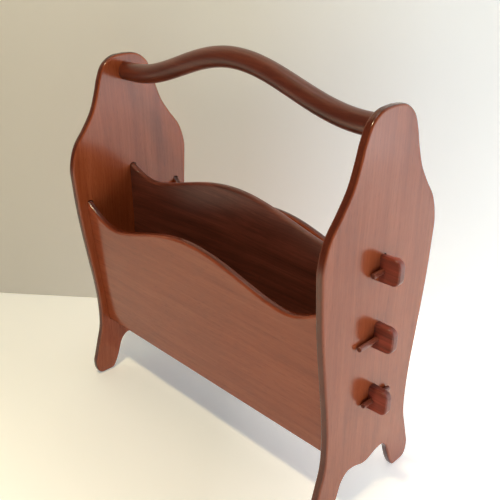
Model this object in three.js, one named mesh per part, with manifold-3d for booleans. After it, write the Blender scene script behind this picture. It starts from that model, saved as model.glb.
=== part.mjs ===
// Knock-down wooden magazine rack, in millimetres, +Z up.
// Two shaped end boards hold a front panel, a back panel, a divider and a floor board in
// stopped housings. The divider's three tenons at each end pass right through the boards,
// and a loose round peg through each tenon locks the whole rack together. The arched
// handle is held in a blind socket in each board.
// X runs along the rack, Y from front to back, and the origin is on the ground at the centre.

import * as THREE from "three";
import { mergeVertices } from "three/addons/utils/BufferGeometryUtils.js";
import Module from "manifold-3d";

const wasm = await Module();
wasm.setup();

// ---------------------------------------------------------------- driving dimensions

const rackHeight = 480;
const rackLength = 450;
const rackWidth = 197;
const gap = 0.3;

const boardThickness = 10;
const boardRound = 3;
const archHeight = 52;
const archCuspHeight = 45;
const archLobeOffset = 31;
const archFootGap = 122;
const footToe = 12;

const panelThickness = 10;
const panelRound = 4;
const panelInset = 14;
const panelBottom = 88;
const panelCrest = { hump: 291, dip: 259, end: 285, dipFromEnd: 60 };

const dividerThickness = 10;
const dividerRound = 4;
const dividerCrest = { hump: 340, dip: 309, end: 324, dipFromEnd: 52 };

const floorThickness = 10;
const floorRise = 6;

const housingDepth = 4;
const housingOvershoot = 1.7;

const tenonHeight = 31;
const tenonReach = 25;
const tenonCorner = 9;
const tenonRound = 2;
const tenonPitch = 82.5;
const middleTenonZ = 226;

const pegDiameter = 6.4;
const pegLength = 50;
const pegDrop = 2;
const pegChamfer = 0.6;
const pegFronts = {
  right: { top: -21.5, middle: -36, bottom: -20 },
  left: { top: -27, middle: -18.5, bottom: -31 },
};

const handleDiameter = 25;
const handleDrop = 24;
const handleRise = 42;
const handleStraight = 22;
const handleSpigotDiameter = 16;
const handleSpigotLength = 6.5;

// ---------------------------------------------------------------- values that follow

const outerX = rackLength / 2;
const innerX = outerX - boardThickness;
const housingX = innerX + housingDepth;
const pegRadius = pegDiameter / 2;
const handleRadius = handleDiameter / 2;
const handleEndZ = rackHeight - handleDrop;
const handleArchHalf = innerX - handleStraight;
const floorBottom = panelBottom + floorRise;
const floorTop = floorBottom + floorThickness;
const tenonHeights = {
  top: middleTenonZ + tenonPitch,
  middle: middleTenonZ,
  bottom: middleTenonZ - tenonPitch,
};

// ---------------------------------------------------------------- solids

const walnut = { color: 0x8c4a2c, roughness: 0.4, metalness: 0 };
const darkWalnut = { color: 0x6b3220, roughness: 0.42, metalness: 0 };

function toSolid(geometry) {
  const bare = geometry.clone();
  bare.deleteAttribute("normal");
  bare.deleteAttribute("uv");
  const merged = mergeVertices(bare, 1e-4);
  const corners = merged.index.array;
  const kept = [];
  for (let i = 0; i < corners.length; i += 3) {
    const [a, b, c] = [corners[i], corners[i + 1], corners[i + 2]];
    if (a !== b && b !== c && c !== a) kept.push(a, b, c);
  }
  return new wasm.Manifold(
    new wasm.Mesh({
      numProp: 3,
      vertProperties: new Float32Array(merged.attributes.position.array),
      triVerts: new Uint32Array(kept),
    }),
  );
}

function toMesh(name, solid, finish) {
  const { vertProperties, triVerts } = solid.getMesh();
  const geometry = new THREE.BufferGeometry();
  geometry.setAttribute("position", new THREE.BufferAttribute(vertProperties, 3));
  geometry.setIndex(new THREE.BufferAttribute(triVerts, 1));
  geometry.computeVertexNormals();
  const mesh = new THREE.Mesh(geometry, new THREE.MeshStandardMaterial(finish));
  mesh.name = name;
  return mesh;
}

// A plate whose outline is drawn in the XZ plane, with its thickness centred on y = 0
// and its arrises rounded.
function plate(shape, thickness, round) {
  const geometry = new THREE.ExtrudeGeometry(shape, {
    depth: thickness - 2 * round,
    bevelEnabled: round > 0,
    bevelThickness: round,
    bevelSize: round,
    bevelOffset: -round,
    bevelSegments: 2,
    curveSegments: 6,
  });
  geometry.translate(0, 0, -(thickness / 2 - round));
  geometry.rotateX(Math.PI / 2);
  return geometry;
}

function box(minimum, maximum) {
  const size = maximum.map((value, i) => value - minimum[i]);
  const middle = maximum.map((value, i) => (value + minimum[i]) / 2);
  return toSolid(new THREE.BoxGeometry(...size).translate(...middle));
}

// A rod along X, Y or Z between two places on that axis.
function rod(axis, radius, from, to, centre, sides) {
  const geometry = new THREE.CylinderGeometry(radius, radius, to - from, sides);
  geometry.translate(0, (from + to) / 2, 0);
  if (axis === "x") geometry.rotateZ(-Math.PI / 2);
  if (axis === "z") geometry.rotateX(Math.PI / 2);
  return toSolid(geometry.translate(...centre));
}

// A slot with round ends, drawn upright in the XZ plane: its straight part runs between
// the two heights.
function slot(radius, low, high, depth) {
  const shape = new THREE.Shape();
  shape.absarc(0, high, radius, 0, Math.PI);
  shape.absarc(0, low, radius, Math.PI, 2 * Math.PI);
  return plate(shape, depth, 0);
}

// ---------------------------------------------------------------- end board outline

// Half widths and heights from the top of the head to the toe, as shares of half the
// rack's width and of its height. The hip is the widest place.
const boardProfile = [
  [0, 1],
  [0.203, 0.9952],
  [0.362, 0.973],
  [0.448, 0.938],
  [0.507, 0.899],
  [0.598, 0.851],
  [0.744, 0.806],
  [0.908, 0.7612],
  [0.996, 0.705],
  [0.995, 0.65],
  [0.956, 0.5423],
  [0.868, 0.4028],
  [0.813, 0.322],
  [0.784, 0.241],
  [0.796, 0.17],
  [0.872, 0.1112],
  [0.957, 0.053],
].map(([wide, high]) => new THREE.Vector2((wide * rackWidth) / 2, high * rackHeight));

const profileCurve = new THREE.SplineCurve(boardProfile);
const profilePoints = profileCurve.getSpacedPoints(52);

function halfWidthAt(height) {
  const below = profilePoints.findIndex((point) => point.y < height);
  const upper = profilePoints[below - 1];
  const lower = profilePoints[below];
  return THREE.MathUtils.mapLinear(height, upper.y, lower.y, upper.x, lower.x);
}

// The outline goes down the right side, under the foot, over the two-lobed arch and up
// the left side, which mirrors the right.
function endBoardShape() {
  const toe = profilePoints[profilePoints.length - 1];
  const heel = archFootGap / 2;
  const lobe = new THREE.CurvePath();
  const at = (y, z) => new THREE.Vector2(y, z);
  const flank = at(archLobeOffset + 17, (archHeight * 2) / 3);
  lobe.add(new THREE.CubicBezierCurve(
    at(toe.x, toe.y), at(toe.x + 1.5, toe.y - footToe), at(toe.x - 1, 0), at(toe.x - footToe, 0),
  ));
  lobe.add(new THREE.LineCurve(at(toe.x - footToe, 0), at(heel + 5, 0)));
  lobe.add(new THREE.CubicBezierCurve(at(heel + 5, 0), at(heel, 1), at(flank.x + 5, 18), flank));
  lobe.add(new THREE.CubicBezierCurve(
    flank, at(flank.x - 3, archHeight - 7), at(archLobeOffset + 7, archHeight), at(archLobeOffset, archHeight),
  ));
  lobe.add(new THREE.CubicBezierCurve(
    at(archLobeOffset, archHeight), at(archLobeOffset - 15, archHeight), at(11, archCuspHeight), at(0, archCuspHeight),
  ));
  const underside = lobe.curves.flatMap((curve) => curve.getPoints(curve.isLineCurve ? 1 : 7).slice(1));
  const right = [...profilePoints, ...underside];
  const left = right.slice(1, -1).map((point) => at(-point.x, point.y)).reverse();
  return new THREE.Shape([...right, ...left].reverse());
}

// ---------------------------------------------------------------- panels

// A crest that rises to a hump in the middle, dips on each side of it and sweeps up again
// to the end boards.
function crestPoints(crest) {
  const dipX = innerX - crest.dipFromEnd;
  const heightAt = (x) => {
    const across = Math.abs(x);
    if (across >= innerX) return crest.end;
    if (across > dipX) return crest.dip + (crest.end - crest.dip) * ((across - dipX) / (innerX - dipX)) ** 2;
    return crest.dip + (crest.hump - crest.dip) * (0.5 + 0.5 * Math.cos((Math.PI * across) / dipX)) ** 0.75;
  };
  const count = 44;
  const reach = housingX + 2 * boardThickness;
  const places = Array.from({ length: count + 1 }, (_, i) => -innerX + (2 * innerX * i) / count);
  return [-reach, ...places, reach].map((x) => new THREE.Vector2(x, heightAt(x)));
}

// A board with a crest: it is drawn too long, rounded all round and then cut square to
// sit in the housings. The crest's heights are measured upright, so a leaning panel is
// drawn longer by the same share.
function crestedBoard(crest, bottom, thickness, round, lean) {
  const stretch = 1 / Math.cos(lean);
  const reach = housingX + 2 * boardThickness;
  const top = crestPoints(crest).map((point) => new THREE.Vector2(point.x, (point.y - bottom) * stretch));
  const shape = new THREE.Shape([new THREE.Vector2(-reach, 0), new THREE.Vector2(reach, 0), ...top.reverse()]);
  const end = housingX - gap;
  const keep = box([-end, -thickness, -thickness], [end, thickness, rackHeight]);
  return toSolid(plate(shape, thickness, round)).intersect(keep);
}

// Both side panels follow the taper of the end boards at a fixed distance from their edge.
const panelHalfBase = halfWidthAt(panelBottom) - panelInset - panelThickness / 2;
const panelHalfTop = halfWidthAt(panelCrest.end) - panelInset - panelThickness / 2;
const panelLean = Math.atan2(panelHalfTop - panelHalfBase, panelCrest.end - panelBottom);

function leanOut(solid, side) {
  const degrees = THREE.MathUtils.radToDeg(panelLean);
  return solid.rotate([-side * degrees, 0, 0]).translate([0, side * panelHalfBase, panelBottom]);
}

function sidePanel(side) {
  return leanOut(crestedBoard(panelCrest, panelBottom, panelThickness, panelRound, panelLean), side);
}

// ---------------------------------------------------------------- divider, tenons and pegs

function tenon(side, height) {
  const root = -housingDepth;
  const tip = boardThickness + tenonReach - housingDepth;
  const half = tenonHeight / 2;
  const shape = new THREE.Shape();
  shape.moveTo(root, -half);
  shape.lineTo(tip - tenonCorner, -half);
  shape.absarc(tip - tenonCorner, -half + tenonCorner, tenonCorner, -Math.PI / 2, 0);
  shape.absarc(tip - tenonCorner, half - tenonCorner, tenonCorner, 0, Math.PI / 2);
  shape.lineTo(root, half);
  const solid = toSolid(plate(shape, dividerThickness, tenonRound));
  const trimmed = solid.subtract(box([root - 1, -dividerThickness, -half], [root + tenonRound, dividerThickness, half]));
  const turned = side > 0 ? trimmed : trimmed.rotate([0, 0, 180]);
  return turned.translate([side * housingX, 0, height]);
}

const pegX = outerX + gap + pegRadius;

function pegHole(side, height) {
  return rod("y", pegRadius + gap, -dividerThickness, dividerThickness, [side * pegX, 0, height - pegDrop], 24);
}

function divider() {
  const bottom = floorTop + gap;
  const board = crestedBoard(dividerCrest, bottom, dividerThickness, dividerRound, 0).translate([0, 0, bottom]);
  return [-1, 1].reduce(
    (solid, side) =>
      Object.values(tenonHeights).reduce(
        (body, height) => body.add(tenon(side, height)).subtract(pegHole(side, height)),
        solid,
      ),
    board,
  );
}

function peg(side, height, front) {
  const shank = pegLength - pegChamfer;
  const profile = [
    new THREE.Vector2(0, 0),
    new THREE.Vector2(pegRadius - pegChamfer, 0),
    new THREE.Vector2(pegRadius, pegChamfer),
    new THREE.Vector2(pegRadius, shank),
    new THREE.Vector2(pegRadius - pegChamfer, pegLength),
    new THREE.Vector2(0, pegLength),
  ];
  const geometry = new THREE.LatheGeometry(profile, 24);
  return toSolid(geometry.translate(side * pegX, front, height - pegDrop));
}

// ---------------------------------------------------------------- floor board

// Its long edges are bevelled to lie along the leaning panels.
function floorBoard(slack) {
  const faceAt = (height) =>
    panelHalfBase + (height - panelBottom) * Math.tan(panelLean) - panelThickness / 2 / Math.cos(panelLean) - gap;
  const low = floorBottom - slack;
  const high = floorTop + slack;
  const shape = new THREE.Shape([
    new THREE.Vector2(-faceAt(low), low),
    new THREE.Vector2(faceAt(low), low),
    new THREE.Vector2(faceAt(high), high),
    new THREE.Vector2(-faceAt(high), high),
  ]);
  return toSolid(plate(shape, 2 * (housingX - gap + slack), 0)).rotate([0, 0, 90]);
}

// ---------------------------------------------------------------- handle

class HandleLine extends THREE.Curve {
  getPoint(share) {
    const x = THREE.MathUtils.lerp(-innerX + gap, innerX - gap, share);
    const across = Math.min(Math.abs(x) / handleArchHalf, 1);
    return new THREE.Vector3(x, 0, handleEndZ + handleRise * (0.5 + 0.5 * Math.cos(Math.PI * across)));
  }
}

function handle() {
  const section = new THREE.Shape();
  section.absarc(0, 0, handleRadius, 0, 2 * Math.PI);
  const grip = toSolid(
    new THREE.ExtrudeGeometry(section, {
      steps: 44,
      curveSegments: 14,
      extrudePath: new HandleLine(),
      bevelEnabled: false,
    }),
  );
  const root = innerX - handleRadius;
  const tip = innerX + handleSpigotLength;
  const spigot = handleSpigotDiameter / 2;
  return [-1, 1].reduce(
    (solid, side) =>
      solid.add(rod("x", spigot, Math.min(side * root, side * tip), Math.max(side * root, side * tip), [0, 0, handleEndZ], 28)),
    grip,
  );
}

// ---------------------------------------------------------------- end boards

// The housings and mortises follow the pieces that they take, each with the gap round it.
// A housing has round ends, as a router leaves them, and a mortise has the tenon's corners.
function panelHousing(side) {
  const radius = panelThickness / 2 + gap;
  const stretch = 1 / Math.cos(panelLean);
  const height = (panelCrest.end - panelBottom) * stretch;
  const reach = radius - housingOvershoot;
  const upright = toSolid(slot(radius, reach, height - reach, 2 * housingDepth)).rotate([0, 0, 90]);
  return leanOut(upright, side);
}

function dividerHousing() {
  const radius = dividerThickness / 2 + gap;
  const high = dividerCrest.end + housingOvershoot - radius;
  return toSolid(slot(radius, floorTop, high, 2 * housingDepth)).rotate([0, 0, 90]);
}

function mortise(height) {
  const corner = tenonRound + gap;
  const wide = dividerThickness / 2 + gap - corner;
  const high = tenonHeight / 2 + gap - corner;
  const quarter = Math.PI / 2;
  const shape = new THREE.Shape();
  shape.absarc(wide, height + high, corner, 0, quarter);
  shape.absarc(-wide, height + high, corner, quarter, 2 * quarter);
  shape.absarc(-wide, height - high, corner, 2 * quarter, 3 * quarter);
  shape.absarc(wide, height - high, corner, 3 * quarter, 4 * quarter);
  return toSolid(plate(shape, 4 * boardThickness, 0)).rotate([0, 0, 90]);
}

function endBoard(side) {
  const blank = toSolid(plate(endBoardShape(), boardThickness, boardRound).rotateZ(Math.PI / 2));
  const middle = side * (outerX - boardThickness / 2);
  const floorCut = floorBoard(gap);
  const socket = rod("x", handleSpigotDiameter / 2 + gap, -1, handleSpigotLength + gap, [0, 0, handleEndZ], 28);
  const cuts = [
    panelHousing(-1).translate([side * innerX, 0, 0]),
    panelHousing(1).translate([side * innerX, 0, 0]),
    dividerHousing().translate([side * innerX, 0, 0]),
    ...Object.values(tenonHeights).map((height) => mortise(height).translate([side * outerX, 0, 0])),
    (side > 0 ? socket : socket.rotate([0, 0, 180])).translate([side * innerX, 0, 0]),
    floorCut,
  ];
  return cuts.reduce((solid, cut) => solid.subtract(cut), blank.translate([middle, 0, 0]));
}

// ---------------------------------------------------------------- the rack

const rack = new THREE.Group();
rack.add(toMesh("end_board_right", endBoard(1), walnut));
rack.add(toMesh("end_board_left", endBoard(-1), walnut));
rack.add(toMesh("front_panel", sidePanel(-1), walnut));
rack.add(toMesh("back_panel", sidePanel(1), walnut));
rack.add(toMesh("divider", divider(), walnut));
rack.add(toMesh("floor_board", floorBoard(0), walnut));
rack.add(toMesh("handle", handle(), darkWalnut));
for (const [sideName, side] of [["right", 1], ["left", -1]]) {
  for (const [level, height] of Object.entries(tenonHeights)) {
    const front = pegFronts[sideName][level];
    rack.add(toMesh(`peg_${sideName}_${level}`, peg(side, height, front), darkWalnut));
  }
}

export default rack;
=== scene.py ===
# %% [markdown]
# # A pegged magazine rack in lacquered hardwood
#
# The rack comes apart for storage. Two shaped end boards hold a front panel, a back panel, a divider
# and a floor board in stopped housings. Three tenons at each end of the divider go right through the
# end boards, and a loose round peg through each tenon locks everything. An arched handle joins the
# heads of the boards. This lesson builds the fine surface of each piece around the working model,
# which is loaded first and is never moved.

# %% Load the working model
import math

import bpy
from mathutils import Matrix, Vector
from mathutils.geometry import interpolate_bezier


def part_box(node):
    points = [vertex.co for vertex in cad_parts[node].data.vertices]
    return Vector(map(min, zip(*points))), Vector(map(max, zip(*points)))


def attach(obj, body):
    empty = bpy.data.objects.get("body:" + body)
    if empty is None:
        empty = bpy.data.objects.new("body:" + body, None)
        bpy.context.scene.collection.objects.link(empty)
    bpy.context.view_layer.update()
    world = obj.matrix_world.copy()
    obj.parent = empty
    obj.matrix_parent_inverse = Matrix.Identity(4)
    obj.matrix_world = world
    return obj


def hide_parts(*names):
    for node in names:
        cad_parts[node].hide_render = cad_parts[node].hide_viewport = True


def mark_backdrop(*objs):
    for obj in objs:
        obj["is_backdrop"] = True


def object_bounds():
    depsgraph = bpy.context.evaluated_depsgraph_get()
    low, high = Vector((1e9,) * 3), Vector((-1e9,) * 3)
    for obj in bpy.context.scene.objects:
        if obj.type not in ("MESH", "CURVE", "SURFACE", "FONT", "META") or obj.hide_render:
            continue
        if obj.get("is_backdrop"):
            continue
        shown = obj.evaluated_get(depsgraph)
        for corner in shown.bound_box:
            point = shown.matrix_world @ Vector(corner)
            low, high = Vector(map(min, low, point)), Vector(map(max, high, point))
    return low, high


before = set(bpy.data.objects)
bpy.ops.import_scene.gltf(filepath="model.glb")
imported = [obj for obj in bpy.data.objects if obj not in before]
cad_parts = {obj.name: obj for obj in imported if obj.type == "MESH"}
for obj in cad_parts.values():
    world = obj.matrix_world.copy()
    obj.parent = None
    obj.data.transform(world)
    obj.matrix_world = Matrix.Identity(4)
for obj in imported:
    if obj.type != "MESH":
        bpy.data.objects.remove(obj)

cad_low, cad_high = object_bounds()
board_low, board_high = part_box("end_board_right")
inner_x = board_low.x
outer_x = board_high.x
board_thickness = outer_x - inner_x
rack_height = board_high.z
rack_width = 0.197
gap = 0.0003
housing_depth = 0.004
housing_x = inner_x + housing_depth
shoulder_x = housing_x - gap
print(f"end boards: {board_thickness * 1000:.1f} mm thick, {rack_height * 1000:.0f} mm high")

# %% [markdown]
# ## Working by hand, in code
#
# Every piece starts as a small primitive and is shaped in edit mode, as a person does with the mouse.
# An operator works on whatever is selected, so each helper first deselects everything and then picks
# edges or faces by their place. A drawn outline is one vertex that is extruded from place to place.
# That suits sawn boards: the curve is drawn once, filled, given its thickness and then rounded over.

# %% Drawing an outline and giving it thickness
close = 1e-5


def work_on(piece):
    """Makes this piece the only one selected."""
    bpy.ops.object.select_all(action="DESELECT")
    piece.select_set(True)
    bpy.context.view_layer.objects.active = piece


def settle(name):
    """Names the new primitive and puts its place in its mesh."""
    piece = bpy.context.object
    piece.name = name
    piece.data.name = name
    bpy.ops.object.transform_apply(location=True, rotation=True, scale=True)
    return piece


def draw_face(name, places):
    """Extrudes one vertex from place to place, and fills the ring."""
    pairs = zip(places, [places[-1], *places])
    places = [place for place, last in pairs if (place - last).length > close]
    bpy.ops.object.select_all(action="DESELECT")
    bpy.ops.mesh.primitive_plane_add(size=0.001, location=places[0])
    piece = settle(name)
    bpy.ops.object.mode_set(mode="EDIT")
    bpy.ops.mesh.select_mode(type="VERT")
    bpy.ops.mesh.select_all(action="SELECT")
    bpy.ops.mesh.merge(type="CENTER")
    for here, there in zip(places, places[1:]):
        bpy.ops.mesh.extrude_vertices_move(TRANSFORM_OT_translate={"value": there - here})
    bpy.ops.mesh.select_all(action="SELECT")
    bpy.ops.mesh.edge_face_add()
    bpy.ops.object.mode_set(mode="OBJECT")
    return piece


def thicken(piece, way):
    """Extrudes a flat face into a closed block whose faces point outwards."""
    work_on(piece)
    bpy.ops.object.mode_set(mode="EDIT")
    bpy.ops.mesh.select_all(action="SELECT")
    bpy.ops.mesh.extrude_region_move(TRANSFORM_OT_translate={"value": way})
    bpy.ops.mesh.select_all(action="SELECT")
    bpy.ops.mesh.normals_make_consistent(inside=False)
    bpy.ops.object.mode_set(mode="OBJECT")
    return piece


# %% Picking edges and faces, and rounding arrises


def pick(piece, kind, wanted):
    """Goes into edit mode with only the wanted edges or faces selected."""
    work_on(piece)
    bpy.ops.object.mode_set(mode="EDIT")
    bpy.ops.mesh.select_mode(type=kind)
    bpy.ops.mesh.select_all(action="DESELECT")
    bpy.ops.object.mode_set(mode="OBJECT")
    mesh = piece.data
    for part in mesh.edges if kind == "EDGE" else mesh.polygons:
        part.select = wanted([mesh.vertices[i].co for i in part.vertices])
    bpy.ops.object.mode_set(mode="EDIT")


def round_over(piece, wanted, radius, segments):
    """Rounds the wanted edges, as a router bit does."""
    pick(piece, "EDGE", wanted)
    bpy.ops.mesh.bevel(offset=radius, segments=segments, profile=0.5, clamp_overlap=False)
    bpy.ops.object.mode_set(mode="OBJECT")


def cut_out(piece, cutter):
    """Takes the cutter's shape out of the piece, and throws the cutter away."""
    work_on(piece)
    bpy.ops.object.modifier_add(type="BOOLEAN")
    cut = piece.modifiers[-1]
    cut.operation = "DIFFERENCE"
    cut.solver = "EXACT"
    cut.object = cutter
    bpy.ops.object.modifier_apply(modifier=cut.name)
    bpy.data.objects.remove(cutter)


# %% [markdown]
# ## The wood and its lacquer
#
# The wood is a red-brown hardwood under a clear satin lacquer. Its grain is quiet: fine lines that
# run the length of each board, wide soft bands from the growth rings, and short dark pores. An image
# of wood would stretch over the round edges. A pattern made from the piece's own coordinates doesn't:
# it goes through the solid as real grain does, so the bands on a face turn into rings at its end.
# The lacquer is a coat over the colour, which gives the clear, slightly soft reflections.
#
# End grain is darker than the rest. The narrow edges of the boards and side panels are darker too:
# painted shade on faces turned away from the lights. The divider is drawn in darker tones, painted
# shade for the inside of the rack, and its tenons are paler where they stand out from the end boards,
# where that painted shade is taken off again.

# %% One helper that adds a shading node


def step(tree, kind, inputs, **settings):
    """Adds a node. Each input is a number, a colour or another node's socket."""
    made = tree.nodes.new("ShaderNode" + kind)
    for name, value in settings.items():
        setattr(made, name, value)
    for key, value in inputs.items():
        if isinstance(value, bpy.types.NodeSocket):
            tree.links.new(value, made.inputs[key])
        else:
            made.inputs[key].default_value = value
    return made


def ramp(tree, factor, stops):
    """A colour ramp with the given (place, colour) stops."""
    made = step(tree, "ValToRGB", {"Fac": factor})
    bar = made.color_ramp
    while len(bar.elements) < len(stops):
        bar.elements.new(0.5)
    for element, (place, colour) in zip(bar.elements, stops):
        element.position = place
        element.color = (*colour, 1)
    return made.outputs["Color"]


def blend_colours(tree, factor, first, second, way="MIX"):
    """Mixes or multiplies two colours."""
    made = step(tree, "Mix", {0: factor, 6: first, 7: second}, data_type="RGBA", blend_type=way)
    return made.outputs[2]


def sums(tree, way, *values):
    """One step of arithmetic."""
    made = step(tree, "Math", dict(enumerate(values)), operation=way)
    return made.outputs[0]


# %% The wood pattern
# A noise is given by how fine it is across the grain and along it, per metre, and by its detail.
# The last value of fine_lines is its roughness.
sway_noise = (9, 2.2, 2)
fine_lines = (330, 7, 4, 0.6)
soft_bands = (60, 2.5, 3)
slow_clouds = (14, 5, 3)
short_pores = (1500, 75, 1)
ring_wave = {"Scale": 13, "Distortion": 1.6, "Detail": 2, "Detail Scale": 1.2}
sway_reach = 0.035
pore_colour = (0.5, 0.42, 0.4)
end_grain_colour = (0.075, 0.02, 0.012, 1)
end_grain_share = 0.45
# Darkens the narrow edges: painted shade on faces turned away from the lights.
painted_edge_shade = (0.36, 0.30, 0.34, 1)
broad_facing = 0.85
edge_facing = 0.35
# Lifts the divider's painted shade off its tenons where they stand outside the end boards.
shade_lifting_tint = (2.0, 1.5, 1.4, 1)
paler_border = 0.001
grain_axes = {"X": Vector((1, 0, 0)), "Y": Vector((0, 1, 0)), "Z": Vector((0, 0, 1))}


def stretched(grain, across, along):
    """A scale that is fine across the grain and long along it."""
    return Vector([along if part else across for part in grain_axes[grain]])


def grain_noise(tree, place, grain, across, along, detail, roughness=0.55):
    """Noise drawn out along the grain."""
    scaled = step(tree, "Mapping", {"Vector": place, "Scale": stretched(grain, across, along)})
    shape = {"Scale": 1, "Detail": detail, "Roughness": roughness}
    return step(tree, "TexNoise", {"Vector": scaled.outputs[0], **shape})


def facing(tree, coordinates, axis):
    """How squarely the surface faces along an axis, from 0 to 1."""
    normal = coordinates.outputs["Normal"]
    share = step(tree, "VectorMath", {0: normal, 1: grain_axes[axis]}, operation="DOT_PRODUCT")
    return sums(tree, "ABSOLUTE", share.outputs["Value"])


def wood(name, grain, pith, tones, broad=None, ring_share=0.07, coat_roughness=0.17, paler_past=None):
    """Solid wood whose growth rings circle a line through pith, along the grain.

    The tones are its dark, middle and light colours. With a broad axis, the faces that look along it
    keep their colour and all others are darker: painted shade on the edges. Further than paler_past
    from the middle of the rack, measured along X, the wood is paler, which takes painted shade off
    the parts that stand out there.
    """
    dark, middle, light = tones
    material = bpy.data.materials.new(name)
    material.use_nodes = True
    tree = material.node_tree
    shader = tree.nodes["Principled BSDF"]
    coordinates = step(tree, "TexCoord", {})
    moved = step(tree, "Mapping", {"Vector": coordinates.outputs["Object"], "Location": pith})
    sway = grain_noise(tree, moved.outputs[0], grain, *sway_noise).outputs["Color"]
    centred = step(tree, "VectorMath", {0: sway, 1: (0.5, 0.5, 0.5)}, operation="SUBTRACT").outputs[0]
    reach = step(tree, "VectorMath", {0: centred, "Scale": sway_reach}, operation="SCALE").outputs[0]
    swayed = step(tree, "VectorMath", {0: moved.outputs[0], 1: reach}, operation="ADD").outputs[0]

    wave = {"Vector": swayed, **ring_wave}
    rings = step(tree, "TexWave", wave, wave_type="RINGS", rings_direction=grain).outputs["Fac"]
    lines = grain_noise(tree, swayed, grain, *fine_lines).outputs["Fac"]
    bands = grain_noise(tree, swayed, grain, *soft_bands).outputs["Fac"]
    clouds = grain_noise(tree, moved.outputs[0], grain, *slow_clouds).outputs["Fac"]
    pores = grain_noise(tree, swayed, grain, *short_pores).outputs["Fac"]

    fine = sums(tree, "MULTIPLY_ADD", lines, 0.55, sums(tree, "MULTIPLY", bands, 0.45))
    tone = step(tree, "Mix", {0: ring_share, 2: fine, 3: rings}).outputs[0]
    tone = step(tree, "Mix", {0: 0.25, 2: tone, 3: clouds}).outputs[0]
    colour = ramp(tree, tone, [(0.34, dark), (0.5, middle), (0.66, light)])
    specks = ramp(tree, pores, [(0.30, pore_colour), (0.42, (1, 1, 1))])
    colour = blend_colours(tree, 0.55, colour, specks, "MULTIPLY")

    end_grain = sums(tree, "POWER", facing(tree, coordinates, grain), 3)
    end_share = sums(tree, "MULTIPLY", end_grain, end_grain_share)
    colour = blend_colours(tree, end_share, colour, end_grain_colour)
    # Painted shade: faces that don't look along the broad axis are darkened.
    if broad:
        flat = facing(tree, coordinates, broad)
        edge = step(tree, "MapRange", {"Value": flat, 1: broad_facing, 2: edge_facing}).outputs[0]
        colour = blend_colours(tree, edge, colour, painted_edge_shade, "MULTIPLY")
    # Painted shade taken off: further than paler_past along X the wood is paler.
    if paler_past:
        x = step(tree, "SeparateXYZ", {0: coordinates.outputs["Object"]}).outputs["X"]
        out = sums(tree, "ABSOLUTE", x)
        limits = {1: paler_past - paler_border, 2: paler_past}
        past = step(tree, "MapRange", {"Value": out, **limits}).outputs[0]
        colour = blend_colours(tree, past, colour, shade_lifting_tint, "MULTIPLY")
    tree.links.new(colour, shader.inputs["Base Color"])

    relief = sums(tree, "MULTIPLY_ADD", pores, 0.6, sums(tree, "MULTIPLY", lines, 0.4))
    bump = step(tree, "Bump", {"Height": relief, "Strength": 0.09, "Distance": 0.0004})
    tree.links.new(bump.outputs[0], shader.inputs["Normal"])
    rough = step(tree, "MapRange", {"Value": lines, 3: 0.5, 4: 0.38}).outputs[0]
    tree.links.new(rough, shader.inputs["Roughness"])
    shader.inputs["Specular IOR Level"].default_value = 0.0
    shader.inputs["Coat Weight"].default_value = 1.0
    shader.inputs["Coat Roughness"].default_value = coat_roughness
    shader.inputs["Coat IOR"].default_value = 1.5
    print(f"{name}: grain along {grain}, {len(tree.nodes)} nodes")
    return material


# %% The five finishes
board_tones = [(0.24, 0.047, 0.015), (0.33, 0.074, 0.026), (0.42, 0.108, 0.042)]
panel_tones = [(0.225, 0.045, 0.016), (0.295, 0.064, 0.025), (0.365, 0.087, 0.036)]
# The divider's tones are darker than the boards': painted shade for the inside of the rack.
shaded_divider_tones = [(0.048, 0.014, 0.010), (0.14, 0.037, 0.025), (0.255, 0.072, 0.050)]
handle_tones = [(0.075, 0.016, 0.009), (0.12, 0.026, 0.014), (0.175, 0.043, 0.024)]
peg_tones = [(0.17, 0.045, 0.030), (0.25, 0.070, 0.046), (0.33, 0.100, 0.068)]
quiet = 0.03

board_wood = wood("board_wood", "Z", (0.11, 0.045, 0), board_tones, "X")
panel_wood = wood("panel_wood", "X", (0, 0.16, -0.05), panel_tones, "Y", quiet, 0.2)
divider_wood = wood("divider_wood", "X", (0, 0.12, -0.08), shaded_divider_tones, None, quiet, 0.33, outer_x)
handle_wood = wood("handle_wood", "X", (0, 0.03, -0.42), handle_tones, coat_roughness=0.28)
peg_wood = wood("peg_wood", "Y", (0.02, 0, 0.015), peg_tones, coat_roughness=0.22)

# %% Finishing a piece and putting it on the frame
smooth_angle = math.radians(32)


def finish_piece(piece, node, body, material):
    """Shades the piece, gives it its wood and says which part of the working model it stands for."""
    work_on(piece)
    bpy.ops.object.shade_smooth_by_angle(angle=smooth_angle)
    bpy.ops.object.modifier_add(type="WEIGHTED_NORMAL")
    shading = piece.modifiers[-1]
    shading.keep_sharp = True
    bpy.ops.object.modifier_apply(modifier=shading.name)
    piece.data.materials.clear()
    piece.data.materials.append(material)
    node_low, node_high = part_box(node)
    corners = [vertex.co for vertex in piece.data.vertices]
    low = [min(corner[i] for corner in corners) - node_low[i] for i in range(3)]
    high = [max(corner[i] for corner in corners) - node_high[i] for i in range(3)]
    off = max(map(abs, low + high)) * 1000
    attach(piece, body)
    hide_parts(node)
    faces = len(piece.data.polygons)
    print(f"{piece.name}: {faces} faces, within {off:.2f} mm of the box of {node}")


# %% [markdown]
# ## The end boards
#
# Each end board is sawn from one wide plank: a round head, sloping shoulders, hips, a waist and two
# feet with a double arch between them. Half of the outline is drawn and then mirrored. The long side is
# a batten curve, which passes smoothly through pins at the places that set the shape. The foot and the
# arch are four short curves that each start along the last one.

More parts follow.
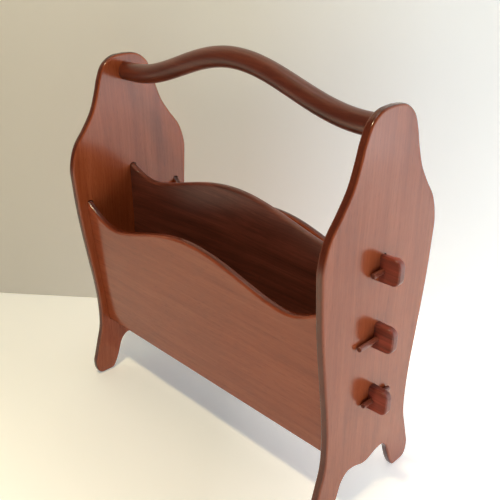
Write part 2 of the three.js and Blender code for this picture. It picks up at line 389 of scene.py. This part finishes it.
# %% The outline of an end board
side_pins = [
    (0, 1),
    (0.203, 0.9952),
    (0.362, 0.973),
    (0.448, 0.938),
    (0.507, 0.899),
    (0.598, 0.851),
    (0.744, 0.806),
    (0.908, 0.7612),
    (0.996, 0.705),
    (0.995, 0.65),
    (0.956, 0.5423),
    (0.868, 0.4028),
    (0.813, 0.322),
    (0.784, 0.241),
    (0.796, 0.17),
    (0.872, 0.1112),
    (0.957, 0.053),
]
arch_height = 0.052
cusp_height = 0.045
lobe_y = 0.031
heel_y = 0.061
toe_round = 0.012
side_steps = 10
arch_steps = 12


def at(y, z):
    """A place on the inner face of the right end board."""
    return Vector((inner_x, y, z))


def batten(pins, steps):
    """The curve of a thin batten bent round the pins."""
    run = [pins[0]]
    for i in range(len(pins) - 1):
        before = pins[max(i - 1, 0)]
        after = pins[min(i + 2, len(pins) - 1)]
        start = pins[i]
        stop = pins[i + 1]
        pull_on = start + (stop - before) / 6
        pull_back = stop - (after - start) / 6
        run += interpolate_bezier(start, pull_on, pull_back, stop, steps + 1)[1:]
    return run


def end_board_outline():
    """Down the right side, under the foot, over the arch, and back up the mirrored left side."""
    side = batten([at(wide * rack_width / 2, high * rack_height) for wide, high in side_pins], side_steps)
    toe = side[-1]
    flank = at(lobe_y + 0.017, arch_height * 2 / 3)
    sole = at(toe.y - toe_round, 0)
    heel = at(heel_y + 0.005, 0)
    lobe = at(lobe_y, arch_height)
    bends = [
        (toe, at(toe.y + 0.0015, toe.z - toe_round), at(toe.y - 0.001, 0), sole),
        (heel, at(heel_y, 0.001), at(flank.y + 0.005, 0.018), flank),
        (flank, at(flank.y - 0.003, arch_height - 0.007), at(lobe_y + 0.007, arch_height), lobe),
        (lobe, at(lobe_y - 0.015, arch_height), at(0.011, cusp_height), at(0, cusp_height)),
    ]
    half = side
    for bend in bends:
        places = interpolate_bezier(*bend, arch_steps)
        half = half + [place for place in places if (place - half[-1]).length > close]
    other = [at(-place.y, place.z) for place in reversed(half[1:-1])]
    return half + other


outline = end_board_outline()
print(f"end board outline: {len(outline)} places")

# %% Sawing the plank and rounding its arrises
board_round = 0.003


def on_a_face(corners):
    """True for an edge that lies in one of the plank's two flat faces."""
    return any(all(abs(c.x - face) < close for c in corners) for face in (inner_x, outer_x))


right_board = thicken(draw_face("right_end_board", outline), Vector((board_thickness, 0, 0)))
round_over(right_board, on_a_face, board_round, 5)
print(f"rounded plank: {len(right_board.data.polygons)} faces")

# %% [markdown]
# The joints are cut last, as in the workshop. A housing is a shallow slot with round ends that takes a
# panel's end. A mortise goes right through, with corners that follow the tenon's own, and the handle's
# spigot has a round socket. Each cutter is drawn, used once and thrown away. The side panels lean, so
# their housings follow the flat faces of the working model's panels, which are measured first.

# %% Measuring how the side panels lean


def flat_side(node, towards):
    """The normal of a node's largest flat face that looks that way, and its distance from the origin."""
    faces = [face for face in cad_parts[node].data.polygons if face.normal.dot(towards) > 0.9]
    largest = max(faces, key=lambda face: face.area)
    return largest.normal.copy(), largest.normal.dot(largest.center)


def middle_of(node):
    """The outward normal, the middle plane's distance from the origin, and the thickness of a panel."""
    out = Vector((0, math.copysign(1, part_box(node)[0].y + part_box(node)[1].y), 0))
    normal, outer = flat_side(node, out)
    inner = flat_side(node, -out)[1]
    return normal, (outer - inner) / 2, outer + inner


def plane_place(node, x, z):
    """The place on the middle plane of a panel at this x and z."""
    normal, middle, _ = middle_of(node)
    return Vector((x, (middle - normal.z * z) / normal.y, z))


front_normal, _, panel_thickness = middle_of("front_panel")
lean = math.degrees(math.asin(-front_normal.z))
print(f"panels lean {lean:.2f} degrees and are {panel_thickness * 1000:.1f} mm thick")

# %% Cutters for housings, mortises and sockets
panel_bottom = 0.088
panel_crest = {"hump": 0.291, "dip": 0.259, "end": 0.285, "dip_from_end": 0.060}
divider_crest = {"hump": 0.340, "dip": 0.309, "end": 0.324, "dip_from_end": 0.052}
housing_overshoot = 0.0017
floor_low, floor_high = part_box("floor_board")
tenon_height = 0.031
tenon_round = 0.002
hair = 0.00002  # keeps a mortise's sides out of the planes of the housing's sides
tenon_middle_z = 0.226
tenon_pitch = 0.0825
tenon_heights = [tenon_middle_z + tenon_pitch * level for level in (1, 0, -1)]


def slot_cutter(low, high, radius, depth):
    """A slot with a half circle round each of two centres, cut along X."""
    along = (high - low).normalized()
    across = along.cross(Vector((1, 0, 0)))
    turns = [math.pi * i / 16 for i in range(17)]
    top = [high + radius * (math.cos(turn) * across + math.sin(turn) * along) for turn in turns]
    foot = [low - radius * (math.cos(turn) * across + math.sin(turn) * along) for turn in turns]
    return thicken(draw_face("cutter", top + foot), Vector((depth, 0, 0)))


def panel_housing(node):
    """The housing that takes the end of a leaning panel."""
    radius = panel_thickness / 2 + gap
    start = inner_x - housing_depth
    low = plane_place(node, start, panel_bottom)
    high = plane_place(node, start, panel_crest["end"])
    along = (high - low).normalized() * (radius - housing_overshoot)
    return slot_cutter(low + along, high - along, radius, 2 * housing_depth)


def divider_housing():
    """The housing that takes the divider's shoulder, down to the floor board."""
    radius = panel_thickness / 2 + gap
    start = inner_x - housing_depth
    low = Vector((start, 0, floor_high.z))
    high = Vector((start, 0, divider_crest["end"] + housing_overshoot - radius))
    return slot_cutter(low, high, radius, 2 * housing_depth)


def mortise(height):
    """A through mortise that clears the tenon all round and has the same soft corners."""
    corner = tenon_round + gap
    wide = panel_thickness / 2 + gap + hair - corner
    high = tenon_height / 2 + gap - corner
    ring = []
    for quarter, (side, up) in enumerate([(1, 1), (-1, 1), (-1, -1), (1, -1)]):
        centre = Vector((inner_x - board_thickness, side * wide, height + up * high))
        turns = [math.pi / 2 * (quarter + i / 8) for i in range(9)]
        ring += [centre + corner * Vector((0, math.cos(turn), math.sin(turn))) for turn in turns]
    return thicken(draw_face("cutter", ring), Vector((3 * board_thickness, 0, 0)))


# %% The floor board's block and the handle's socket
handle_z = 0.456
spigot_radius = 0.008
spigot_length = 0.0065


def floor_block(name, slack):
    """A cube at the floor board's size, narrowed below to lie along the leaning panels."""
    size = floor_high - floor_low + Vector((slack, slack, slack)) * 2
    bpy.ops.object.select_all(action="DESELECT")
    bpy.ops.mesh.primitive_cube_add(size=1, location=(floor_low + floor_high) / 2, scale=size)
    block = settle(name)
    underside = floor_low.z - slack
    pick(block, "FACE", lambda corners: all(abs(c.z - underside) < close for c in corners))
    narrower = 2 * size.z * abs(front_normal.z / front_normal.y)
    bpy.ops.transform.resize(value=(1, 1 - narrower / size.y, 1), center_override=(0, 0, underside))
    bpy.ops.object.mode_set(mode="OBJECT")
    return block


def socket():
    """A blind round hole for the handle's spigot."""
    depth = board_thickness + spigot_length + gap
    bpy.ops.object.select_all(action="DESELECT")
    bpy.ops.mesh.primitive_cylinder_add(
        vertices=64,
        radius=spigot_radius + gap,
        depth=depth,
        location=(inner_x - board_thickness + depth / 2, 0, handle_z),
        rotation=(0, math.pi / 2, 0),
    )
    return settle("cutter")


# %% Cutting the joints, and mirroring the board for the other end
for cutter in [
    panel_housing("front_panel"),
    panel_housing("back_panel"),
    divider_housing(),
    floor_block("cutter", gap),
    socket(),
    *[mortise(height) for height in tenon_heights],
]:
    cut_out(right_board, cutter)
work_on(right_board)
bpy.ops.object.mode_set(mode="EDIT")
bpy.ops.mesh.select_all(action="SELECT")
bpy.ops.mesh.remove_doubles(threshold=close)
bpy.ops.object.mode_set(mode="OBJECT")
print(f"right end board with its joints: {len(right_board.data.polygons)} faces")


def mirrored(piece, name):
    """A copy with its own mesh, mirrored to the other end of the rack."""
    work_on(piece)
    bpy.ops.object.duplicate()
    copy = bpy.context.object
    copy.scale.x = -1
    settle(name)
    bpy.ops.object.mode_set(mode="EDIT")
    bpy.ops.mesh.select_all(action="SELECT")
    bpy.ops.mesh.normals_make_consistent(inside=False)
    bpy.ops.object.mode_set(mode="OBJECT")
    return copy


left_board = mirrored(right_board, "left_end_board")
finish_piece(right_board, "end_board_right", "rack", board_wood)
finish_piece(left_board, "end_board_left", "rack", board_wood)

# %% [markdown]
# ## The side panels
#
# A side panel is a thin board with a wavy crest: it sweeps down from each end, and up again to a hump
# in the middle. Its long edges are rounded nearly to a half circle. It is drawn too long, rounded all
# round and then cut square at both ends, so that the rounding runs straight into the housings.

# %% The crest
crest_steps = 96
panel_round = 0.004


def crest_height(x, crest):
    """The height of the wavy top edge at this x."""
    across = abs(x)
    dip_x = inner_x - crest["dip_from_end"]
    if across <= dip_x:
        wave = 0.5 + 0.5 * math.cos(math.pi * across / dip_x)
        return crest["dip"] + (crest["hump"] - crest["dip"]) * wave**0.75
    rise = min((across - dip_x) / (inner_x - dip_x), 1)
    return crest["dip"] + (crest["end"] - crest["dip"]) * rise**2


def crest_run(crest):
    """Places along the crest, as (x, z), between the inner faces of the end boards."""
    places = [inner_x * (2 * i / crest_steps - 1) for i in range(crest_steps + 1)]
    return [(x, crest_height(x, crest)) for x in places]


# %% A leaning panel


def side_panel(name, node):
    """Draws the panel on its own leaning plane, rounds it and cuts its ends square."""
    normal, _, thickness = middle_of(node)
    reach = outer_x + board_thickness
    run = crest_run(panel_crest)
    end = panel_crest["end"]
    drawn = [(-reach, panel_bottom), (-reach, end), *run, (reach, end), (reach, panel_bottom)]
    half = normal * thickness / 2
    panel = draw_face(name, [plane_place(node, x, z) - half for x, z in drawn])
    thicken(panel, 2 * half)
    faces = [normal.dot(plane_place(node, 0, 0)) + side * thickness / 2 for side in (-1, 1)]

    def arris(corners):
        return any(all(abs(normal.dot(c) - face) < close for c in corners) for face in faces)

    round_over(panel, arris, panel_round, 6)
    work_on(panel)
    bpy.ops.object.mode_set(mode="EDIT")
    for side in (-1, 1):
        bpy.ops.mesh.select_all(action="SELECT")
        bpy.ops.mesh.bisect(
            plane_co=(side * shoulder_x, 0, 0), plane_no=(side, 0, 0), use_fill=True, clear_outer=True
        )
    bpy.ops.object.mode_set(mode="OBJECT")
    return panel


for name, node in [("front_side_panel", "front_panel"), ("back_side_panel", "back_panel")]:
    finish_piece(side_panel(name, node), node, "rack", panel_wood)

# %% [markdown]
# ## The divider and its tenons
#
# The divider is higher than the side panels. Its crest has the same wave, and its ends carry three
# tenons each, one board with the rest of it. So the whole outline, tenons and all, is drawn in one go.
# The crest and the lower edge get the wide rounding and the tenons a small one. The shoulders between
# the tenons stay square, because they sit in the housings. Then the peg holes are bored.

# %% The divider's outline
tenon_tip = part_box("divider")[1].x
tenon_corner = 0.009
divider_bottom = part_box("divider")[0].z


def tenon_end(height):
    """The three sides of a tenon at the right end, from its top to its lower edge, as (x, z)."""
    top = height + tenon_height / 2
    foot = height - tenon_height / 2
    turns = [math.pi / 2 * i / 10 for i in range(11)]
    centre_x = tenon_tip - tenon_corner
    bend = [(tenon_corner * math.sin(turn), tenon_corner * (1 - math.cos(turn))) for turn in turns]
    upper = [(centre_x + out, top - drop) for out, drop in bend]
    lower = [(centre_x + out, foot + rise) for out, rise in reversed(bend)]
    return [(shoulder_x, top), *upper, *lower, (shoulder_x, foot)]


def divider_outline():
    """Along the crest, down the right end, and back along the foot to the mirrored left end."""
    right_end = [(shoulder_x, divider_crest["end"])]
    for height in tenon_heights:
        right_end += tenon_end(height)
    right_end.append((shoulder_x, divider_bottom))
    left_end = [(-x, z) for x, z in reversed(right_end)]
    return [*crest_run(divider_crest), *right_end, *left_end]


divider_drawn = divider_outline()
print(f"divider outline: {len(divider_drawn)} places")

# %% Making the divider
divider_half = (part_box("divider")[1].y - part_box("divider")[0].y) / 2


def divider_edge(corners):
    """An edge in one of the divider's two flat faces."""
    return any(all(abs(c.y - side * divider_half) < close for c in corners) for side in (-1, 1))


def along_crest_or_foot(corners):
    """A long edge: not a shoulder and not part of a tenon."""
    reach = [abs(c.x) for c in corners]
    return divider_edge(corners) and max(reach) < shoulder_x + close and min(reach) < shoulder_x - close


def round_a_tenon(corners):
    """An edge of a tenon."""
    return divider_edge(corners) and max(abs(c.x) for c in corners) > shoulder_x + close


divider = draw_face("middle_divider", [Vector((x, -divider_half, z)) for x, z in divider_drawn])
thicken(divider, Vector((0, 2 * divider_half, 0)))
round_over(divider, along_crest_or_foot, panel_round, 6)
round_over(divider, round_a_tenon, tenon_round, 4)
print(f"divider before boring: {len(divider.data.polygons)} faces")

# %% Boring the peg holes
bore_length = 0.03
peg_levels = ["top", "middle", "bottom"]
peg_nodes = [f"peg_{side}_{level}" for side in ("right", "left") for level in peg_levels]


def peg_shape(node):
    """The middle, radius and length of a peg."""
    low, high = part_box(node)
    return (low + high) / 2, (high.x - low.x) / 2, high.y - low.y


def rod_along_y(name, middle, radius, length):
    """A round rod from front to back."""
    bpy.ops.object.select_all(action="DESELECT")
    bpy.ops.mesh.primitive_cylinder_add(
        vertices=48, radius=radius, depth=length, location=middle, rotation=(math.pi / 2, 0, 0)
    )
    return settle(name)


for node in peg_nodes:
    middle, radius, _ = peg_shape(node)
    cut_out(divider, rod_along_y("cutter", Vector((middle.x, 0, middle.z)), radius + gap, bore_length))
finish_piece(divider, "divider", "rack", divider_wood)

# %% [markdown]
# ## The pegs
#
# A peg is a short length of dowel. Its ends are cut square and the sharp rim is taken off by hand.
# It has to slide across in its tenon, so each peg rides on its own body.

# %% Six loose pegs
peg_rim = 0.0009

for node in peg_nodes:
    middle, radius, length = peg_shape(node)
    peg = rod_along_y(node.replace("peg", "dowel"), middle, radius, length)
    ends = [middle.y - length / 2, middle.y + length / 2]

    def rim(corners):
        return any(all(abs(c.y - end) < close for c in corners) for end in ends)

    round_over(peg, rim, peg_rim, 4)
    finish_piece(peg, node, node, peg_wood)

# %% [markdown]
# ## The floor board
#
# The magazines stand on a plain board between the side panels. It is hardly seen, but it is a real
# piece: a cube narrowed below, so that its long edges lie against the leaning panels.

# %% The board that the magazines stand on
floor_round = 0.0006
floor_board = floor_block("bay_floor", 0)
round_over(floor_board, lambda corners: True, floor_round, 2)
finish_piece(floor_board, "floor_board", "rack", panel_wood)

# %% [markdown]
# ## The handle
#
# The handle is a round rod, arched in the middle and level at its ends. One ring is extruded from
# station to station along the arch. Where the rod climbs, an upright slice through it is an ellipse, so
# each ring is stretched upwards by just enough to keep the rod round. Each end is then inset and
# extruded into the spigot that sits in the end board.

# %% The line of the handle
handle_radius = 0.0125
handle_rise = 0.042
handle_arch_half = 0.193
handle_end_x = inner_x - gap
handle_stations = 96


def handle_height(x):
    """The height of the rod's centre line."""
    across = min(abs(x) / handle_arch_half, 1)
    return handle_z + handle_rise * (0.5 + 0.5 * math.cos(math.pi * across))


def slice_stretch(x):
    """How much taller than the rod an upright slice through it is."""
    across = min(abs(x) / handle_arch_half, 1)
    climb = handle_rise * math.pi / (2 * handle_arch_half) * math.sin(math.pi * across)
    return math.hypot(1, climb)


# %% Extruding the rod and its spigots
stations = [handle_end_x * (2 * i / handle_stations - 1) for i in range(handle_stations + 1)]
bpy.ops.object.select_all(action="DESELECT")
bpy.ops.mesh.primitive_circle_add(
    vertices=48, radius=handle_radius, location=(stations[0], 0, handle_z), rotation=(0, math.pi / 2, 0)
)
handle = settle("carrying_handle")
bpy.ops.object.mode_set(mode="EDIT")
bpy.ops.mesh.select_all(action="SELECT")
for here, there in zip(stations, stations[1:]):
    move = (there - here, 0, handle_height(there) - handle_height(here))
    centre = (there, 0, handle_height(there))
    bpy.ops.mesh.extrude_region_move(TRANSFORM_OT_translate={"value": move})
    taller = slice_stretch(there) / slice_stretch(here)
    bpy.ops.transform.resize(value=(1, 1, taller), center_override=centre)
bpy.ops.object.mode_set(mode="OBJECT")

for side in (-1, 1):
    pick(handle, "EDGE", lambda corners: all(abs(c.x - side * handle_end_x) < close for c in corners))
    bpy.ops.mesh.edge_face_add()
    bpy.ops.mesh.inset(thickness=handle_radius - spigot_radius, depth=0)
    reach = inner_x + spigot_length - handle_end_x
    bpy.ops.mesh.extrude_region_move(TRANSFORM_OT_translate={"value": (side * reach, 0, 0)})
    bpy.ops.mesh.select_all(action="SELECT")
    bpy.ops.mesh.normals_make_consistent(inside=False)
    bpy.ops.object.mode_set(mode="OBJECT")
finish_piece(handle, "handle", "rack", handle_wood)

# %% [markdown]
# ## The stage
#
# A pale table top and a pale wall stand behind the rack. Both paint light: they are darker and warmer
# at the left, brighter and whiter at the right, and glow faintly, which lifts the shadow under the rack.
# The lacquer shows what is around it, so these matter for the wood too: the near end board mirrors the
# bright right side, and the front panel the warm table top in front of it. The wall is clear from
# behind, so that it doesn't hide the rack's back.

# %% Table top and wall
wall_way = Vector((0.776, 0.631, 0))
wall_distance = 0.305
stage_size = 5
stage_drop = 0.0005
stage_left = -0.45
stage_right = 0.4


def pale(name, left, right, left_glow, right_glow, roughness):
    """A matt surface whose colour and faint glow change from left to right along the wall."""
    # Colour and glow both paint light: darker and warmer at the left, brighter and whiter at the right.
    material = bpy.data.materials.new(name)
    material.use_nodes = True
    tree = material.node_tree
    shader = tree.nodes["Principled BSDF"]
    place = step(tree, "TexCoord", {}).outputs["Object"]
    along = step(tree, "VectorMath", {0: place, 1: wall_way}, operation="DOT_PRODUCT").outputs["Value"]
    share = step(tree, "MapRange", {"Value": along, 1: stage_left, 2: stage_right}).outputs[0]
    paint = ramp(tree, share, [(0, left), (1, right)])
    glow = ramp(tree, share, [(0.5, left_glow), (0.85, right_glow)])
    tree.links.new(paint, shader.inputs["Base Color"])
    tree.links.new(glow, shader.inputs["Emission Color"])
    shader.inputs["Emission Strength"].default_value = 1
    shader.inputs["Roughness"].default_value = roughness
    return material


bpy.ops.object.select_all(action="DESELECT")
bpy.ops.mesh.primitive_plane_add(size=stage_size, location=(0, 0, -stage_drop))
table_top = settle("table_top")
# Painted light: the table top is warm at the left and white at the right. Its glow lifts the shadow under
# the rack and washes out the shadow at the right.
warm_lit_table = (0.91, 0.87, 0.77)
bright_lit_table = (0.94, 0.94, 0.92)
table_paint = pale("table_top", warm_lit_table, bright_lit_table, (0.19, 0.215, 0.225), (0.62, 0.62, 0.62), 0.6)
table_top.data.materials.append(table_paint)
wall_angle = math.atan2(wall_way.y, wall_way.x)
wall_normal = Vector((-wall_way.y, wall_way.x, 0))
bpy.ops.object.select_all(action="DESELECT")
wall_middle = wall_normal * wall_distance + Vector((0, 0, stage_size / 2))
bpy.ops.mesh.primitive_plane_add(
    size=stage_size, location=wall_middle, rotation=(math.pi / 2, 0, wall_angle)
)
wall = settle("wall")
# Painted light: the wall is shaded at the left and bright at the right, with a faint bluish glow.
shaded = (0.72, 0.68, 0.62)
bright = (0.96, 0.98, 0.99)
wall_paint = pale("wall", shaded, bright, (0.02, 0.03, 0.04), (0.10, 0.14, 0.20), 0.8)
wall.data.materials.append(wall_paint)

# %% A wall that can be seen through from behind
paint_tree = wall_paint.node_tree
from_behind = step(paint_tree, "NewGeometry", {}).outputs["Backfacing"]
clear = step(paint_tree, "BsdfTransparent", {}).outputs[0]
paint = paint_tree.nodes["Principled BSDF"].outputs[0]
either = step(paint_tree, "MixShader", {0: from_behind, 1: paint, 2: clear})
paint_tree.links.new(either.outputs[0], paint_tree.nodes["Material Output"].inputs["Surface"])
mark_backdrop(table_top, wall)

# %% Lights
world = bpy.data.worlds.new("room")
bpy.context.scene.world = world
world.use_nodes = True
sky = world.node_tree.nodes["Background"]
sky.inputs["Color"].default_value = (0.97, 0.98, 1.0, 1)
sky.inputs["Strength"].default_value = 0.08


def soft_light(name, place, target, width, height, power, colour):
    """A rectangular light at a place, turned to face a target."""
    bpy.ops.object.light_add(type="AREA", location=place)
    light = bpy.context.object
    light.name = name
    light.rotation_euler = (Vector(target) - Vector(place)).to_track_quat("-Z", "Y").to_euler()
    light.data.shape = "RECTANGLE"
    light.data.size = width
    light.data.size_y = height
    light.data.energy = power
    light.data.color = colour
    print(f"{name}: {power} W over {width} x {height} m")
    return light


pool_spread = math.radians(50)
soft_light("ceiling_lamp", (0.2, -0.72, 1.95), (0, 0, 0.1), 0.14, 0.14, 18, (1.0, 0.85, 0.52))
soft_light("high_window", (0, 0, 2.2), (0, 0, 0), 0.5, 0.5, 3, (0.95, 0.98, 1.0))
soft_light("window", (1.02, 1.10, 0.50), (0.0, 0.0, 0.45), 1.5, 0.98, 9.5, (0.98, 0.98, 0.97))
soft_light("side_window", (1.3, 0.2, 0.35), (0.2, 0, 0.2), 0.9, 0.6, 1.0, (0.97, 0.99, 1.0))
front_pool = soft_light("front_pool", (0.0, -0.8, 1.0), (0.0, -0.8, 0), 0.9, 0.7, 2.2, (1.0, 0.90, 0.68))
front_pool.data.spread = pool_spread

# %% The camera
azimuth = math.radians(45.28)
elevation = math.radians(24.76)
bpy.ops.object.camera_add(
    location=(0.5857, -0.5531, 0.6263), rotation=(math.pi / 2 - elevation, 0, azimuth)
)
camera = bpy.context.object
camera.data.sensor_width = 36
camera.data.lens = 49.27
bpy.context.scene.camera = camera
bpy.context.scene.view_settings.view_transform = "Standard"

# %% Sizes of the working model and of the finished one
low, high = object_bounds()
differences = zip([*cad_low, *cad_high], [*low, *high])
print("size difference in mm:", [round((b - a) * 1000, 2) for a, b in differences])
